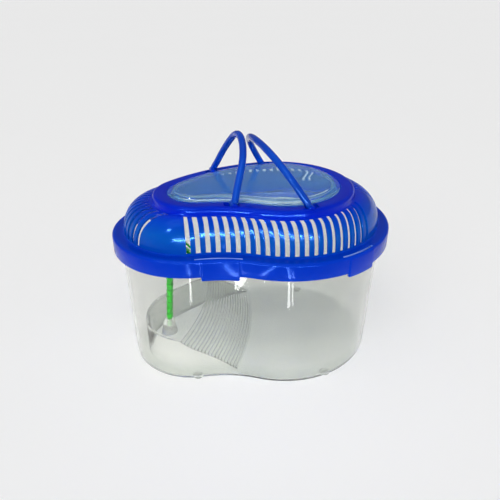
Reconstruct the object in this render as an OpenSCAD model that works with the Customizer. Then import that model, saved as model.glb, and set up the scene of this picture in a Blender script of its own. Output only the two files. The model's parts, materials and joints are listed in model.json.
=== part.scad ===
// Kidney-shaped carry tank for a small pet: clear tank with a moulded island and ramp,
// vented lid, lift-out hatch, two folding handles and a plug-in palm.
// Millimetres, +Z up, front towards -Y, origin at the middle of the bottom.

/* [Rim] */
// Length over the lid rim, left to right
rim_length = 270; // [269:1:280]
// Radius of the large lobe of the rim, on the right
big_lobe_r = 104; // [102:1:106]
// Radius of the small lobe of the rim, on the left
small_lobe_r = 73.5; // [72:0.5:75]
// How far the large lobe's centre lies behind the small lobe's
lobe_stagger = 26.5; // [24:0.5:29]
// Radius of the long arc behind both lobes
back_r = 225; // [215:1:240]
// Radius of the hollow waist arc in front
waist_r = 102; // [98:1:110]

/* [Tank] */
// Wall thickness of the tank
tank_wall = 2.2; // [1.8:0.1:2.6]
// How far the tank wall stands inside the lid rim at the top
wall_inset_top = 7.5; // [7:0.5:9]
// How far the tank wall stands inside the lid rim at the foot
wall_inset_foot = 11; // [10.5:0.5:12]
// Height of the round feet
foot_h = 1.2; // [1:0.1:2]
// Diameter of the round feet
foot_d = 10; // [8:1:11]

/* [Island] */
// Height of the basking platform
platform_h = 40; // [36:1:44]
// Radius of the platform's curved edge where the ramp begins
ramp_top_r = 248; // [244:1:252]
// Radius of the ramp's foot line
ramp_foot_r = 300; // [294:1:302]
// Number of grip steps on the ramp
ramp_steps = 18; // [12:1:22]

/* [Lid] */
// Height of the skirt's lower edge
skirt_z = 124; // [122:0.5:126]
// Height of the flat flange round the dome
flange_z = 140.4; // [140.4:0.2:142]
// Width of the flange round the dome
flange_w = 10; // [9:0.5:11]
// Height where the dome meets the ring
dome_top_z = 173.5; // [171:0.5:175]
// Height of the ring's flat top
ring_z = 181; // [180:0.5:183]
// Width of the ring's flat top
ring_w = 13; // [12.5:0.5:14]
// Wall thickness of the lid
lid_wall = 2.2; // [1.8:0.1:2.6]
// Distance between vent slots along the foot of the dome
slot_pitch = 8.5; // [8.3:0.05:8.7]
// Part of the pitch that is open
slot_share = 0.47; // [0.44:0.01:0.5]

/* [Hatch] */
// Play between the hatch and the ring
hatch_play = 0.5; // [0.4:0.1:0.8]
// Height of the hatch's raised middle above the ring
cap_h = 3.4; // [2.5:0.1:3.6]
// Width of the hatch's flat edge
hatch_edge = 5.5; // [5.3:0.1:6]

/* [Handles] */
// Diameter of the handle rod
rod_d = 6.5; // [6:0.1:6.6]
// Diameter of the pivot pins
pin_d = 3; // [2.8:0.1:3.2]
// Radial play of the pivot pins
pin_play = 0.08; // [0.05:0.01:0.1]
// How far the left handle leans inwards at rest, in degrees
lean_left = 19; // [10:1:20]
// How far the right handle leans inwards at rest, in degrees
lean_right = 32; // [28:1:34]

/* [Palm] */
// Diameter of the palm's trunk
trunk_d = 6.6; // [6:0.1:7]
// Length of the palm from the platform to its crown
crown_z = 90; // [84:1:95]
// Length of one palm frond
frond_l = 22; // [18:1:22]
// How far the palm tilts to the right, in degrees
palm_tilt = 4; // [0:0.5:4]

/* [Hidden] */

// ---- kidney outlines ----
// A kidney has a small lobe on the left, a big lobe on the right, a long arc behind both and a
// hollow waist arc in front. Each of the four arcs is one unit of the place u, counter-clockwise
// from the front of the big lobe: u = 0..1 big lobe, 1..2 back, 2..3 small lobe, 3..4 waist.

function unit(v) = v / norm(v);
function left_of(v) = [-v.y, v.x];
function angle_of(v) = atan2(v.y, v.x);
function turn(a) = a - 360 * floor(a / 360);
function polar(r, a) = r * [cos(a), sin(a)];

// The point on the right of the line from a to b that lies da from a and db from b
function meet(a, b, da, db) =
    let (d = norm(b - a), t = (da * da - db * db + d * d) / (2 * d))
    a + unit(b - a) * t - left_of(unit(b - a)) * sqrt(da * da - t * t);

// Arcs of a kidney as [centre, radius, first angle, sweep]; the waist's sweep is clockwise
function kidney(small, small_r, big, big_r, rear_r, hollow_r) =
    let (rear = meet(small, big, rear_r - small_r, rear_r - big_r),
         hollow = meet(small, big, hollow_r + small_r, hollow_r + big_r),
         a0 = angle_of(hollow - big), a1 = angle_of(big - rear), a2 = angle_of(small - rear),
         a3 = angle_of(hollow - small))
    [[big, big_r, a0, turn(a1 - a0)],
     [rear, rear_r, a1, turn(a2 - a1)],
     [small, small_r, a2, turn(a3 - a2)],
     [hollow, hollow_r, a3 + 180, -turn(a3 - a0)]];

// Point of kidney k at the place u, moved outwards by off
function on_kidney(k, off, u) =
    let (i = floor(u) % 4, f = u - floor(u), arc = k[i], r = arc[1] + (i == 3 ? -off : off))
    arc[0] + polar(r, arc[2] + f * arc[3]);

function arc_length(k, off, i) = abs(k[i][3]) * PI / 180 * (k[i][1] + (i == 3 ? -off : off));
function length_before(k, off, i) = i == 0 ? 0 : length_before(k, off, i - 1) + arc_length(k, off, i - 1);

// Place u at the distance s along the outline
function place_at(k, off, s, i = 0) =
    i == 3 || s < length_before(k, off, i + 1)
        ? i + (s - length_before(k, off, i)) / arc_length(k, off, i)
        : place_at(k, off, s, i + 1);

// Places that follow the four arcs, with more of them on the tighter lobes
function places(n) = concat(
    [for (i = [0:3 * n - 1]) i / (3 * n)],
    [for (i = [0:n - 1]) 1 + i / n],
    [for (i = [0:2 * n - 1]) 2 + i / (2 * n)],
    [for (i = [0:n - 1]) 3 + i / n]);
function outline(k, off, n = 10) = [for (u = places(n)) on_kidney(k, off, u)];

small_c = [small_lobe_r - rim_length / 2, -lobe_stagger];
big_c = [rim_length / 2 - big_lobe_r, 0];
rim = kidney(small_c, small_lobe_r, big_c, big_lobe_r, back_r, waist_r);
window = kidney([-51, -39], 28, [25, -17.5], 56.5, 160, 112);

// ---- lofted skins ----
// Triangles of the quad between rows r and r + 1 and columns c and c + 1 of a closed grid
function quad(r, c, rows, cols) =
    let (a = (r % rows) * cols + c, b = (r % rows) * cols + (c + 1) % cols,
         d = ((r + 1) % rows) * cols + c, e = ((r + 1) % rows) * cols + (c + 1) % cols)
    [[a, d, b], [b, d, e]];

// Solid of stacked closed outlines, each as points with their height, capped at both ends
module stack(levels) {
    cols = len(levels[0]);
    rows = len(levels);
    sides = [for (r = [0:rows - 2], c = [0:cols - 1], t = quad(r, c, rows, cols)) t];
    first = [for (c = [0:cols - 1]) [rows * cols, c, (c + 1) % cols]];
    last = [for (c = [0:cols - 1])
        [rows * cols + 1, (rows - 1) * cols + (c + 1) % cols, (rows - 1) * cols + c]];
    mid_first = [small_c.x / 3, 0, levels[0][0].z];
    mid_last = [small_c.x / 3, 0, levels[rows - 1][0].z];
    polyhedron(concat([for (l = levels, p = l) p], [mid_first, mid_last]),
               concat(sides, first, last));
}
function level(k, off, z, n = 10) = [for (p = outline(k, off, n)) [p.x, p.y, z]];

// ---- tank ----
tank_h = flange_z - lid_wall;
rim_play = 0.5;
skirt_t = 2.4;
rim_off = -skirt_t - rim_play;
floor_z = foot_h + tank_wall;
foot_round = 5.5;
lip_h = 3.6;

// Outside offset of the tank wall at the height z
function wall_off(z) = -wall_inset_foot + (wall_inset_foot - wall_inset_top) * z / skirt_z;

module tank_shell() {
    out = [for (a = [0:22.5:90])
        level(rim, wall_off(foot_round) - foot_round * (1 - sin(a)), foot_h + foot_round * (1 - cos(a)))];
    lip = [
        level(rim, wall_off(tank_h - lip_h - 1), tank_h - lip_h - 1),
        level(rim, rim_off, tank_h - lip_h),
        level(rim, rim_off, tank_h),
        level(rim, wall_off(tank_h) - tank_wall + 0.4, tank_h)];
    inner_r = foot_round - tank_wall;
    inside = [for (a = [90:-22.5:0])
        level(rim, wall_off(foot_round) - tank_wall - inner_r * (1 - sin(a)),
              floor_z + inner_r * (1 - cos(a)))];
    stack(concat(out, lip, inside));
}

island_off = -22.5;
island_c = [-300, 20];
// Solid under the platform and ramp, lowered by drop and drawn in by inset
module island(drop, inset, z0, steps) {
    step_w = (ramp_foot_r - ramp_top_r) / steps;
    step_h = (platform_h - floor_z) / steps;
    intersection() {
        translate([0, 0, z0]) linear_extrude(platform_h - z0) polygon(outline(rim, island_off - inset));
        translate([island_c.x, island_c.y, -drop])
            rotate_extrude($fn = 240)
                polygon(concat(
                    [[ramp_top_r - 120, -20], [ramp_top_r - 120, platform_h]],
                    [for (i = [0:steps - 1], e = [0, 1])
                        [ramp_top_r - inset + step_w * (i + e * 0.98), platform_h - step_h * i]],
                    [[ramp_foot_r - inset, -20]]));
    }
}

palm_xy = [-83, -60];
boss_h = 15;
boss_r = 8;
boss_top_r = 4.6;
spigot_d = 4;
spigot_l = 8;
feet = [for (u = [0.214, 0.85, 1.85, 2.969]) on_kidney(rim, -17.8, u)];

// Frame of the palm: origin on the platform, Z along the tilted trunk
module in_palm_frame() {
    translate([palm_xy.x, palm_xy.y, platform_h]) rotate([0, palm_tilt, 0]) children();
}

module tank() color([0.86, 0.87, 0.85, 0.4]) {
    difference() {
        union() {
            tank_shell();
            island(0, 0, floor_z - 1, ramp_steps);
        }
        island(tank_wall, tank_wall, -1, ramp_steps);
    }
    for (p = feet) translate([p.x, p.y, 0]) cylinder(h = floor_z - 0.5, d = foot_d, $fn = 48);
    in_palm_frame() difference() {
        translate([0, 0, -1]) cylinder(h = boss_h + 1, r1 = boss_r, r2 = boss_top_r, $fn = 64);
        translate([0, 0, boss_h - spigot_l - 0.5])
            cylinder(h = spigot_l + 1, d = spigot_d + 2 * pin_play, $fn = 48);
    }
}

// ---- lid ----
vent_off = -flange_w;
girth = length_before(rim, vent_off, 4);
pitches = round(girth / slot_pitch);
pitch = girth / pitches;
// Place of the first slot's edge, as a share of the pitch
vent_phase = 0.54;
// Groups of slots as [first pitch, last pitch, row of the dome they start in], counter-clockwise from
// the front of the big lobe: the slots behind are short
vent_groups = [[0, 12, 0], [18, 26, 0], [32, 52, 1], [56, 68, 0], [74, 81, 0]];
// Snap tabs as [pitch whose bar they start in, pitch whose bar they end in]
tabs = [[7, 11], [29, 33], [51, 55], [74, 79]];
tab_drop = 3.4;
tab_bulge = 0.9;

function within(groups, i) = len([for (g = groups) if (i >= g[0] && i <= g[1]) 1]) > 0;
function at_end(groups, i, e) = len([for (g = groups) if (i == g[e]) 1]) > 0;
function slot_start(i) = max([for (g = vent_groups) i >= g[0] && i <= g[1] ? g[2] : -1]);

// Extra columns at the ends of a tab and its slit, as [share of the pitch past the slot's first edge,
// slit opens, tab 0..1]: the slit is a little longer than the tab
function tab_columns(i) =
    at_end(tabs, i, 0) ? [[slot_share + 0.26, true, 0]] :
    at_end(tabs, i - 1, 0) ? [[0.28, true, 0], [0.36, true, 1]] :
    at_end(tabs, i, 1) ? [[slot_share + 0.06, true, 1], [slot_share + 0.14, true, 0],
                          [slot_share + 0.36, false, 0]] : [];
// Columns of the lid as [distance along the foot of the dome, first row of the open slot or -1,
// slit opens, tab 0..1]
columns = [for (i = [0:pitches - 1])
    let (s = pitch * (i + vent_phase), inside = within(tabs, i) && !at_end(tabs, i, 0),
         full = inside && !at_end(tabs, i - 1, 0), extra = tab_columns(i))
    each concat(
        [[s, slot_start(i), inside, full ? 1 : 0]],
        [for (b = extra) if (b[0] < slot_share) [s + pitch * b[0], slot_start(i), b[1], b[2]]],
        [[s + pitch * slot_share, -1, inside, inside ? 1 : 0]],
        [for (b = extra) if (b[0] > slot_share) [s + pitch * b[0], -1, b[1], b[2]]])];
n_cols = len(columns);
col_places = [for (c = columns) place_at(rim, vent_off, c[0] >= girth ? c[0] - girth : c[0])];

fillet = 1;
dome_foot_off = -flange_w - fillet;
ring_foot_off = ring_w + 1.2;
ring_round = 3;
ledge_w = 4;
ledge_z = ring_z - 2;
slit_off = -skirt_t;
slit_w = 2;

// Rows that follow the rim, as [offset, height, share of the tab's bulge, share of its drop]
function rim_row(off, z, bulge = 0, drop = 0) =
    [for (c = [0:n_cols - 1])
        let (p = on_kidney(rim, off + bulge * tab_bulge * columns[c][3], col_places[c]))
        [p.x, p.y, z - drop * tab_drop * columns[c][3]]];
// Place on the window that each place on the rim runs up to, which makes the slots lean
lean_of = [[0, 3.926], [0.013, 3.997], [0.038, 4.038], [0.187, 4.225], [0.32, 4.4], [1, 5], [2, 5.97],
           [2.5, 6.5], [2.57, 6.61], [2.64, 6.75], [2.75, 6.79], [2.939, 6.838], [2.995, 6.912],
           [3.142, 7.009], [3.928, 7.844], [4, 7.926]];
win_places = [for (u = col_places) lookup(u, lean_of)];
// Rows that follow the window
function window_row(off, z) =
    [for (u = win_places) let (p = on_kidney(window, off, u)) [p.x, p.y, z]];
// Rows of the dome, at the angle a from its foot to its top, drawn in by inset
function dome_row(a, inset, sink) =
    let (t = 1 - cos(a), low = flange_z + fillet - sink, z = low + (dome_top_z - sink - low) * sin(a))
    [for (c = [0:n_cols - 1])
        let (p = (1 - t) * on_kidney(rim, dome_foot_off - inset, col_places[c])
                 + t * on_kidney(window, ring_foot_off - inset, win_places[c]))
        [p.x, p.y, z]];
dome_angles = [1.5, 21, 42, 64, 85];
n_dome = len(dome_angles);
lid_rows = concat(
    [rim_row(0, skirt_z, 1, 1),
     rim_row(0, flange_z - 2.4, 1),
     rim_row(-0.7, flange_z - 0.7, 0.6),
     rim_row(slit_off, flange_z),
     rim_row(slit_off - slit_w, flange_z),
     rim_row(vent_off, flange_z)],
    [for (a = dome_angles) dome_row(a, 0, 0)],
    [window_row(ring_foot_off, dome_top_z),
     window_row(ring_w, ring_z - ring_round),
     window_row(ring_w - 0.3 * ring_round, ring_z - 0.3 * ring_round),
     window_row(ring_w - ring_round, ring_z),
     window_row(0, ring_z),
     window_row(0, ledge_z),
     window_row(-ledge_w, ledge_z),
     window_row(-ledge_w, ledge_z - lid_wall),
     window_row(lid_wall, ledge_z - lid_wall),
     window_row(lid_wall, ring_z - lid_wall),
     window_row(ring_w - lid_wall, ring_z - lid_wall),
     window_row(ring_foot_off - lid_wall, dome_top_z - lid_wall / 2)],
    [for (i = [n_dome - 1:-1:0]) dome_row(dome_angles[i], lid_wall, lid_wall / 2)],
    [rim_row(vent_off - lid_wall, flange_z - lid_wall),
     rim_row(slit_off - slit_w, flange_z - lid_wall),
     rim_row(slit_off, flange_z - lid_wall),
     rim_row(slit_off, skirt_z, 0, 1)]);
n_rows = len(lid_rows);
// First row of the outer slots and of the outer slit, and the rows inside that match them
vent_row = 6;
slit_row = 3;
function inner_row(r) = r < vent_row ? n_rows - 2 - (r - slit_row) : n_rows - 5 - (r - vent_row);
function open_cell(r, c) =
    let (slot = columns[c][1], slit = columns[c][2], first = vent_row + slot)
    (slot >= 0 && ((r >= first && r < vent_row + n_dome - 1)
                   || (r >= inner_row(vent_row + n_dome - 1) && r < inner_row(first))))
    || (slit && (r == slit_row || r == inner_row(slit_row + 1)));

// Wall of an opening between the outer edge from a to b and the inner edge from d to e
function wall(a, b, d, e) = [[a, b, d], [b, e, d]];
function at(r, c) = r * n_cols + (c + n_cols) % n_cols;
function opening_walls(r, c) =
    let (i = inner_row(r), j = inner_row(r + 1))
    concat(
        open_cell(r, (c + n_cols - 1) % n_cols) ? [] : wall(at(r, c), at(r + 1, c), at(i, c), at(j, c)),
        open_cell(r, (c + 1) % n_cols) ? []
            : wall(at(r + 1, c + 1), at(r, c + 1), at(j, c + 1), at(i, c + 1)),
        open_cell(r - 1, c) ? [] : wall(at(r, c + 1), at(r, c), at(i, c + 1), at(i, c)),
        open_cell(r + 1, c) ? [] : wall(at(r + 1, c), at(r + 1, c + 1), at(j, c), at(j, c + 1)));

module lid_shell() {
    skin = [for (r = [0:n_rows - 1], c = [0:n_cols - 1]) if (!open_cell(r, c))
        each quad(r, c, n_rows, n_cols)];
    walls = [for (r = [slit_row, each [vent_row:vent_row + n_dome - 2]], c = [0:n_cols - 1])
        if (open_cell(r, c)) each opening_walls(r, c)];
    polyhedron([for (row = lid_rows, p = row) p], concat(skin, walls));
}

// ---- handle pivots ----
pivot_drop = 0.6;
pivot_z = ring_z - pivot_drop;
foot_off = 6;
rod_r = rod_d / 2;
pin_reach = 1.6;
pocket_half = rod_r + 0.5;
pocket_in = 4.6;
pocket_out = 8;
pocket_straight = 3;
// How far a folded leg moves towards the middle of its handle over the length of its pocket
drift_left = 2;
drift_right = 0.8;
barrel_r = 2.9;
barrel_l = 2.1;
block_w = 12.4;
// Places on the window's outline of each handle's back foot and front foot
left_places = [1.503, 3.551];
right_places = [0.989, 0.182];
left_feet = [for (u = left_places) on_kidney(window, foot_off, u)];
right_feet = [for (u = right_places) on_kidney(window, foot_off, u)];
function axis_of(feet_xy) = unit(feet_xy[1] - feet_xy[0]);

// Puts a child at a foot, with its X along the hinge line and its Y outwards
module at_foot(p, feet_xy, outwards) {
    translate([p.x, p.y, pivot_z]) rotate([0, 0, angle_of(axis_of(feet_xy))])
        mirror([0, outwards < 0 ? 1 : 0, 0]) children();
}
module each_foot() {
    for (p = left_feet) at_foot(p, left_feet, -1) children();
    for (p = right_feet) at_foot(p, right_feet, 1) children();
}
module each_pocket() {
    for (i = [0, 1]) {
        at_foot(left_feet[i], left_feet, -1) pocket((1 - 2 * i) * drift_left);
        at_foot(right_feet[i], right_feet, 1) pocket((1 - 2 * i) * drift_right);
    }
}
module pocket(drift) {
    translate([0, 0, -rod_r - 0.5]) linear_extrude(rod_r + 6) polygon([
        [-pocket_half, -pocket_in], [pocket_half, -pocket_in], [pocket_half, pocket_straight],
        [pocket_half + drift, pocket_out], [-pocket_half + drift, pocket_out],
        [-pocket_half, pocket_straight]]);
}

module ring_band(off_out, off_in, z0, z1) {
    translate([0, 0, z0]) linear_extrude(z1 - z0) difference() {
        polygon(outline(window, off_out, 12));
        polygon(outline(window, off_in, 12));
    }
}
module pivots() {
    intersection() {
        each_foot() translate([-block_w, -pocket_in - 2, -6.5])
            cube([2 * block_w, pocket_in + pocket_out + 4, 7]);
        ring_band(ring_w - ring_round, 0.6, pivot_z - 6.5, ring_z - 0.1);
    }
    each_foot() for (x = [-pocket_half - barrel_l, pocket_half - 0.1])
        translate([x, 0, 0]) rotate([0, 90, 0]) cylinder(h = barrel_l + 0.1, r = barrel_r, $fn = 40);
}
module lid() color([0, 0.13, 0.75, 0.85]) {
    difference() {
        union() {
            lid_shell();
            pivots();
        }
        each_pocket();
        each_foot() translate([-pocket_half - pin_reach - 0.1, 0, 0]) rotate([0, 90, 0])
            cylinder(h = 2 * (pocket_half + pin_reach + 0.1), r = pin_d / 2 + pin_play, $fn = 40);
    }
}

// ---- handles ----
tip_off = -3;
// Length of a leg that stands square to the hinge line, and the length over which it then bends away
straight_leg = 2.6;
bent_leg = 9;
knuckle_r = rod_r + 0.15;
knuckle_w = rod_d + 0.4;
// Places along a handle's rod from its back foot to its front foot, closer together at the feet
rings = 28;
stations = [for (i = [0, 0.25, 0.5, each [1:rings - 1], rings - 0.5, rings - 0.25, rings]) i / rings];
// Middle line of a handle as [along the hinge line, away from it]: folded, it follows the window,
// and its legs leave their feet square to the hinge line
function handle_line(side) =
    let (feet_xy = side < 0 ? left_feet : right_feet, u = side < 0 ? left_places : right_places,
         a = axis_of(feet_xy), o = side * left_of(a), far = norm(feet_xy[1] - feet_xy[0]))
    [for (f = stations)
        let (off = foot_off + (tip_off - foot_off) * pow(sin(180 * f), 3),
             v = on_kidney(window, off, u[0] + (u[1] - u[0]) * f) - feet_xy[0],
             t = max(0, min(1, (v * o - straight_leg) / bent_leg)), foot_x = f < 0.5 ? 0 : far)
        [foot_x + (v * a - foot_x) * t * t * (3 - 2 * t), v * o]];

module rod(line, sides = 12) {
    n = len(line);
    pts = [for (i = [0:n - 1])
        let (t = unit(line[min(i + 1, n - 1)] - line[max(i - 1, 0)]), m = left_of(t))
        each [for (j = [0:sides - 1])
            let (a = 360 * j / sides) [line[i].x + rod_r * cos(a) * m.x, line[i].y + rod_r * cos(a) * m.y,
                                       rod_r * sin(a)]]];
    faces = concat(
        [for (i = [0:n - 2], j = [0:sides - 1])
            let (a = i * sides + j, b = i * sides + (j + 1) % sides, d = a + sides, e = b + sides)
            each [[a, d, b], [b, d, e]]],
        [[for (j = [0:sides - 1]) j], [for (j = [sides - 1:-1:0]) (n - 1) * sides + j]]);
    polyhedron(pts, faces);
}

// Handle in its flat frame: hinge line along X from the back foot, loop towards +Y
module handle_flat(side) {
    line = handle_line(side);
    rod(line);
    for (p = [line[0], line[len(line) - 1]]) translate([p.x, 0, 0]) {
        rotate([0, 90, 0]) {
            translate([0, 0, -knuckle_w / 2]) cylinder(h = knuckle_w, r = knuckle_r, $fn = 40);
            translate([0, 0, -pocket_half - pin_reach])
                cylinder(h = 2 * (pocket_half + pin_reach), d = pin_d, $fn = 40);
        }
    }
}
module handle(side, lean) {
    feet_xy = side < 0 ? left_feet : right_feet;
    at_foot(feet_xy[0], feet_xy, side) rotate([90 + lean, 0, 0]) handle_flat(side);
}
module handle_left() color([0, 0.1, 0.6]) handle(-1, lean_left);
module handle_right() color([0, 0.1, 0.6]) handle(1, lean_right);

// ---- hatch ----
hatch_wall = 2;
notch_r = 6;
notch_xy = [72, -10];

module hatch() color([0.8, 0.86, 0.88, 0.35]) {
    difference() {
        stack([level(window, -hatch_play, ledge_z),
               level(window, -hatch_play, ring_z),
               level(window, -hatch_edge, ring_z),
               level(window, -hatch_edge - 0.3, ring_z + cap_h - 0.7),
               level(window, -hatch_edge - 1, ring_z + cap_h)]);
        stack([level(window, -hatch_edge - hatch_wall, ledge_z - 1),
               level(window, -hatch_edge - hatch_wall - 0.3, ring_z + cap_h - hatch_wall)]);
    }
    // Raised half ring that a finger catches
    translate([notch_xy.x, notch_xy.y, ring_z + cap_h - 0.5]) difference() {
        cylinder(h = 1.6, r = notch_r, $fn = 48);
        translate([0, 0, -1]) cylinder(h = 4, r = notch_r - 1.4, $fn = 48);
        translate([0, -notch_r - 1, -1]) cube([notch_r + 1, 2 * notch_r + 2, 4]);
    }
}

// ---- palm ----
trunk_r = trunk_d / 2;
segment_h = 6.5;
trunk_foot = boss_h;
crown_pin_r = 1.5;
hub_h = 3;
hub_r = 4;

module palm_trunk() color([0, 0.55, 0.12]) {
    segments = floor((crown_z - trunk_foot) / segment_h);
    h = (crown_z - trunk_foot) / segments;
    in_palm_frame() rotate_extrude($fn = 48)
        polygon(concat(
            [[0, trunk_foot - spigot_l], [spigot_d / 2, trunk_foot - spigot_l], [spigot_d / 2, trunk_foot]],
            [for (i = [0:segments - 1], e = [[0.45, 0], [0, 0.8], [0.45, 1]])
                [trunk_r - e[0], trunk_foot + h * (i + e[1])]],
            [[crown_pin_r, crown_z], [crown_pin_r, crown_z + 2 * hub_h], [0, crown_z + 2 * hub_h]]));
}

// One arching frond along +X from the hub: a shallow roof of a blade, widest a third of the way out
module frond(length, rise, droop) {
    n = 8;
    line = [for (i = [0:n]) let (f = i / n) [length * f, rise * sin(150 * f) - droop * f * f]];
    half = [for (i = [0:n]) 1.2 + 4.6 * sin(180 * pow(i / n, 0.7)) * (1 - 0.3 * i / n)];
    pts = [for (i = [0:n]) each [
        [line[i].x, 0, line[i].y + 0.9],
        [line[i].x, half[i], line[i].y - 0.9],
        [line[i].x, 0, line[i].y - 0.5],
        [line[i].x, -half[i], line[i].y - 0.9]]];
    faces = concat(
        [for (i = [0:n - 1], j = [0:3])
            let (a = i * 4 + j, b = i * 4 + (j + 1) % 4)
            each [[a, b, a + 4], [b, b + 4, a + 4]]],
        [[0, 2, 1], [0, 3, 2], [4 * n, 4 * n + 1, 4 * n + 2], [4 * n, 4 * n + 2, 4 * n + 3]]);
    polyhedron(pts, faces);
}
module fronds(count, z, length, rise, droop, start) {
    in_palm_frame() translate([0, 0, z]) difference() {
        union() {
            cylinder(h = hub_h, r = hub_r, $fn = 48);
            for (i = [0:count - 1]) rotate([0, 0, start + 360 * i / count])
                translate([hub_r - 0.8, 0, hub_h / 2]) frond(length, rise, droop);
        }
        translate([0, 0, -1]) cylinder(h = hub_h + 2, r = crown_pin_r + 0.02, $fn = 48);
    }
}
module palm_fronds_lower() color([0.05, 0.6, 0.15])
    fronds(5, crown_z, frond_l, 5, 12, 66);
module palm_fronds_upper() color([0.05, 0.6, 0.15])
    fronds(4, crown_z + hub_h, frond_l * 0.75, 6, 6, 12);

tank();
lid();
hatch();
handle_left();
handle_right();
palm_trunk();
palm_fronds_lower();
palm_fronds_upper();
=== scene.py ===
import json
import math

import bmesh
import bpy
import numpy as np
from mathutils import Matrix, Vector


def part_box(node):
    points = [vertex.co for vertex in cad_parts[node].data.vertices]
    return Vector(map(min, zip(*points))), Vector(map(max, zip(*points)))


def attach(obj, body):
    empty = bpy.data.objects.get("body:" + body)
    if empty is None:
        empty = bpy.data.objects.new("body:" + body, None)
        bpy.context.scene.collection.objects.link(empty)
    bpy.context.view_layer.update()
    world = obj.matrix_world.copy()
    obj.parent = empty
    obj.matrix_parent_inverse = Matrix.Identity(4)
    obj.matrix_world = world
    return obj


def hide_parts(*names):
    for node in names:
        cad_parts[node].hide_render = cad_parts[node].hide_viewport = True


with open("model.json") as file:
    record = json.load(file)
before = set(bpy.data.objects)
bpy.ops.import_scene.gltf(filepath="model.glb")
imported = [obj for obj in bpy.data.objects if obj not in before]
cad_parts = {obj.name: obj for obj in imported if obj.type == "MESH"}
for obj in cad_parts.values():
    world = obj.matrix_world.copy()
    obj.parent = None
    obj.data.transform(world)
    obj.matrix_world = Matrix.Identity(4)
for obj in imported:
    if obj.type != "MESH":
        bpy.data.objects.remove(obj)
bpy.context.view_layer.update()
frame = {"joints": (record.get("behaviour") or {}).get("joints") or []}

# Shapes are in millimetres in the CAD's frame: Z up, front towards -Y. MM turns them into metres.
MM = 0.001


def box_mm(node):
    """Lowest and highest corner of a CAD node in millimetres."""
    low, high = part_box(node)
    return np.array(low) / MM, np.array(high) / MM


LID_LOW, LID_HIGH = box_mm("lid")
TANK_TOP = box_mm("tank")[1][2]
LEDGE_Z = box_mm("hatch")[0][2]

# ---- sizes that the shapes share, in millimetres ----
WALL = 2.2
# How far a snap tab hangs below the skirt and stands out from it
TAB_DROP, TAB_BULGE = 3.4, 0.9
SKIRT_Z = LID_LOW[2] + TAB_DROP
FLANGE_Z = TANK_TOP + WALL
RING_Z = LEDGE_Z + 2.0
DOME_TOP_Z = RING_Z - 7.5
FLANGE_W = 10.0
RING_W = 13.0
LEDGE_W = 4.0
RING_ROUND, RIM_ROUND = 3.0, 2.4
# Hinge lines and rods
PIVOT_Z = RING_Z - 0.6
ROD_R = 3.25


# ---- kidney outlines ----
# A kidney has a big lobe on the right, a long arc behind, a small lobe on the left and a hollow waist
# in front. Each of its four arcs is one unit of the place u, counter-clockwise from the front.
def angle_of(v):
    return math.atan2(v[1], v[0])


def meet(a, b, from_a, from_b):
    """The point on the right of the line from a to b at these distances from both."""
    gap = np.linalg.norm(b - a)
    along = (b - a) / gap
    t = (from_a**2 - from_b**2 + gap**2) / (2 * gap)
    side = np.array([-along[1], along[0]])
    return a + along * t - side * math.sqrt(from_a**2 - t**2)


def kidney(small, small_r, big, big_r, rear_r, hollow_r):
    """Arcs as (centre, radius, first angle, sweep, way that outwards points)."""
    small, big = np.array(small, float), np.array(big, float)
    rear = meet(small, big, rear_r - small_r, rear_r - big_r)
    hollow = meet(small, big, hollow_r + small_r, hollow_r + big_r)
    turn = 2 * math.pi
    a0, a1 = angle_of(hollow - big), angle_of(big - rear)
    a2, a3 = angle_of(small - rear), angle_of(hollow - small)
    return [
        (big, big_r, a0, (a1 - a0) % turn, 1),
        (rear, rear_r, a1, (a2 - a1) % turn, 1),
        (small, small_r, a2, (a3 - a2) % turn, 1),
        (hollow, hollow_r, a3 + math.pi, -((a3 - a0) % turn), -1),
    ]


def on_kidney(k, off, u):
    """Point at the place u, moved outwards by off."""
    i = math.floor(u)
    centre, radius, start, sweep, out = k[i % 4]
    a = start + (u - i) * sweep
    return centre + (radius + out * off) * np.array([math.cos(a), math.sin(a)])


def girth_table(k, off):
    """Places and the distance along the outline to each of them."""
    us = np.linspace(0, 4, 4001)
    pts = np.array([on_kidney(k, off, u) for u in us])
    lengths = np.concatenate([[0], np.cumsum(np.linalg.norm(np.diff(pts, axis=0), axis=1))])
    return us, lengths


SMALL_R, BIG_R, BACK_R, WAIST_R = 73.5, 104.0, 225.0, 102.0
STAGGER = 26.5
SMALL_LOBE = (LID_LOW[0] + SMALL_R, -STAGGER)
BIG_LOBE = (LID_HIGH[0] - BIG_R, 0)
RIM = kidney(SMALL_LOBE, SMALL_R, BIG_LOBE, BIG_R, BACK_R, WAIST_R)
# The opening for the hatch
WINDOW = kidney((-51, -39), 28, (25, -17.5), 56.5, 160, 112)


# ---- mesh helpers ----
def add_to_scene(name, data):
    """A new object in the scene."""
    obj = bpy.data.objects.new(name, data)
    bpy.context.scene.collection.objects.link(obj)
    return obj


def new_object(name, verts, faces):
    """An object from points in millimetres."""
    mesh = bpy.data.meshes.new(name)
    mesh.from_pydata([tuple(float(c) * MM for c in v) for v in verts], [], faces)
    mesh.validate()
    return add_to_scene(name, mesh)


def keep_inside(obj, low, high):
    """Points that lie outside a box in millimetres are moved onto it."""
    for v in obj.data.vertices:
        v.co = [min(max(c, a * MM), b * MM) for c, a, b in zip(v.co, low, high)]
    return obj


def clean(obj, merge=0.002, outward=True):
    """Merges points that coincide and makes the faces point outwards."""
    bm = bmesh.new()
    bm.from_mesh(obj.data)
    bmesh.ops.remove_doubles(bm, verts=bm.verts, dist=merge * MM)
    bmesh.ops.dissolve_degenerate(bm, edges=bm.edges, dist=merge * MM)
    if outward:
        bmesh.ops.recalc_face_normals(bm, faces=bm.faces)
    bm.to_mesh(obj.data)
    bm.free()
    return obj


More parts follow.
